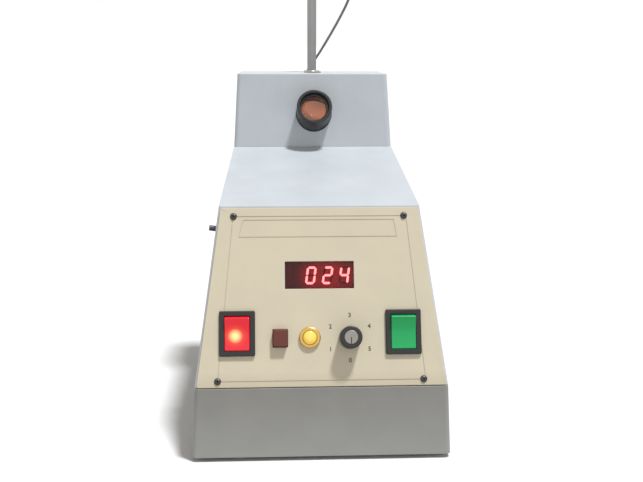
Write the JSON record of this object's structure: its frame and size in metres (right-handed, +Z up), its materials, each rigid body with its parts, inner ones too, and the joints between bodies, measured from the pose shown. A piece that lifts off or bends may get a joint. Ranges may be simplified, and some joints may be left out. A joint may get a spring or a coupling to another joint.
{
  "type": "melting point apparatus",
  "caption": "Bench melting point apparatus with a sloped panel, a digital display, rocker switches, a heat knob, and a heated viewing head with a tilted eyepiece and a temperature probe.",
  "frame": {"origin": "on the table under the middle of the instrument's width and depth", "axes": "+X right seen from the front, +Y to the back, +Z up"},
  "size_m": [0.1854, 0.2571, 0.3646],
  "materials": {
    "housing_grey": "satin, fine texture",
    "panel_cream": "satin, printed",
    "black_plastic": "matte",
    "black_metal": "satin",
    "red_lens": "glossy, lit",
    "green_rocker": "glossy",
    "red_window": "glossy red filter",
    "digit_red": "lit",
    "hold_brown": "satin",
    "gold": "polished",
    "yellow_lens": "glossy, lit",
    "silver": "turned",
    "steel": "brushed",
    "dark_steel": "oxidised",
    "copper": "satin",
    "ceramic": "matte",
    "clear_glass": "clear",
    "rubber": "matte",
    "board_green": "satin",
    "winding": "varnished"
  },
  "bodies": {
    "instrument": {"base_tray": "housing_grey", "housing_cover": "housing_grey", "head_cover": "housing_grey", "rubber_feet": "rubber", "case_screws": "steel", "head_screws": "steel", "side_screw": "dark_steel", "front_panel": "panel_cream", "panel_screws": "dark_steel", "display_window": "red_window", "display_module": "black_plastic", "display_digits": "digit_red", "display_board": "board_green", "display_spacers": "steel", "mains_switch_body": "black_plastic", "fan_switch_body": "black_plastic", "hold_button_body": "black_plastic", "indicator_bezel": "gold", "indicator_nut": "steel", "indicator_lens": "yellow_lens", "heat_control": "steel", "control_nut": "steel", "eyepiece_bush": "black_plastic", "heating_block": "copper", "heater_cartridges": "steel", "block_insulator": "ceramic", "block_bracket": "steel", "lamp": "clear_glass", "lamp_holder": "ceramic", "capillary_guide": "silver", "probe_gland": "steel", "temperature_probe": "steel", "probe_boot": "rubber", "probe_lead": "black_plastic", "lead_grommet": "rubber", "fan_frame": "black_plastic", "fan_guard": "steel", "fan_screws": "steel", "mains_inlet": "black_plastic", "inlet_pins": "silver", "fuse_holder": "black_plastic", "fuse_cap": "black_plastic", "transformer_core": "dark_steel", "transformer_winding": "winding", "main_board": "board_green", "board_parts": "black_plastic", "board_spacers": "silver", "heat_sink": "silver"},
    "mains_rocker_body": {"mains_rocker": "red_lens"},
    "fan_rocker_body": {"fan_rocker": "green_rocker"},
    "hold_button_moving": {"hold_button": "hold_brown"},
    "knob": {"control_knob": "black_plastic", "knob_cap": "silver"},
    "eyepiece": {"eyepiece_tube": "black_metal", "eyepiece_lens": "clear_glass", "lens_ring": "black_metal"},
    "fan_wheel": {"fan_rotor": "black_plastic"}
  },
  "joints": [
    {"name": "mains_rocker_tilt", "type": "hinge", "parent": "instrument", "child": "mains_rocker_body", "pos_m": [-0.0597, -0.11182, 0.09082], "axis": [1, 0, 0], "range_deg": [-18, 0]},
    {"name": "fan_rocker_tilt", "type": "hinge", "parent": "instrument", "child": "fan_rocker_body", "pos_m": [0.0583, -0.11182, 0.09082], "axis": [1, 0, 0], "range_deg": [-18, 0]},
    {"name": "hold_button_press", "type": "slide", "parent": "instrument", "child": "hold_button_moving", "axis": [0, 0.9426, -0.3338], "range_m": [0, 0.0025], "stiffness_N_per_m": 300, "springref_m": -0.003},
    {"name": "heat_knob_turn", "type": "hinge", "parent": "instrument", "child": "knob", "pos_m": [0.0202, -0.11271, 0.0871], "axis": [0, 0.9426, -0.3338], "range_deg": [0, 300]},
    {"name": "eyepiece_focus", "type": "slide", "parent": "instrument", "child": "eyepiece", "axis": [0, -0.9063, 0.4226], "range_m": [-0.002, 0.006]},
    {"name": "fan_spin", "type": "hinge", "parent": "instrument", "child": "fan_wheel", "pos_m": [0, 0.10642, 0.13983], "axis": [0, 0.9998, 0.0175], "continuous": true}
  ]
}
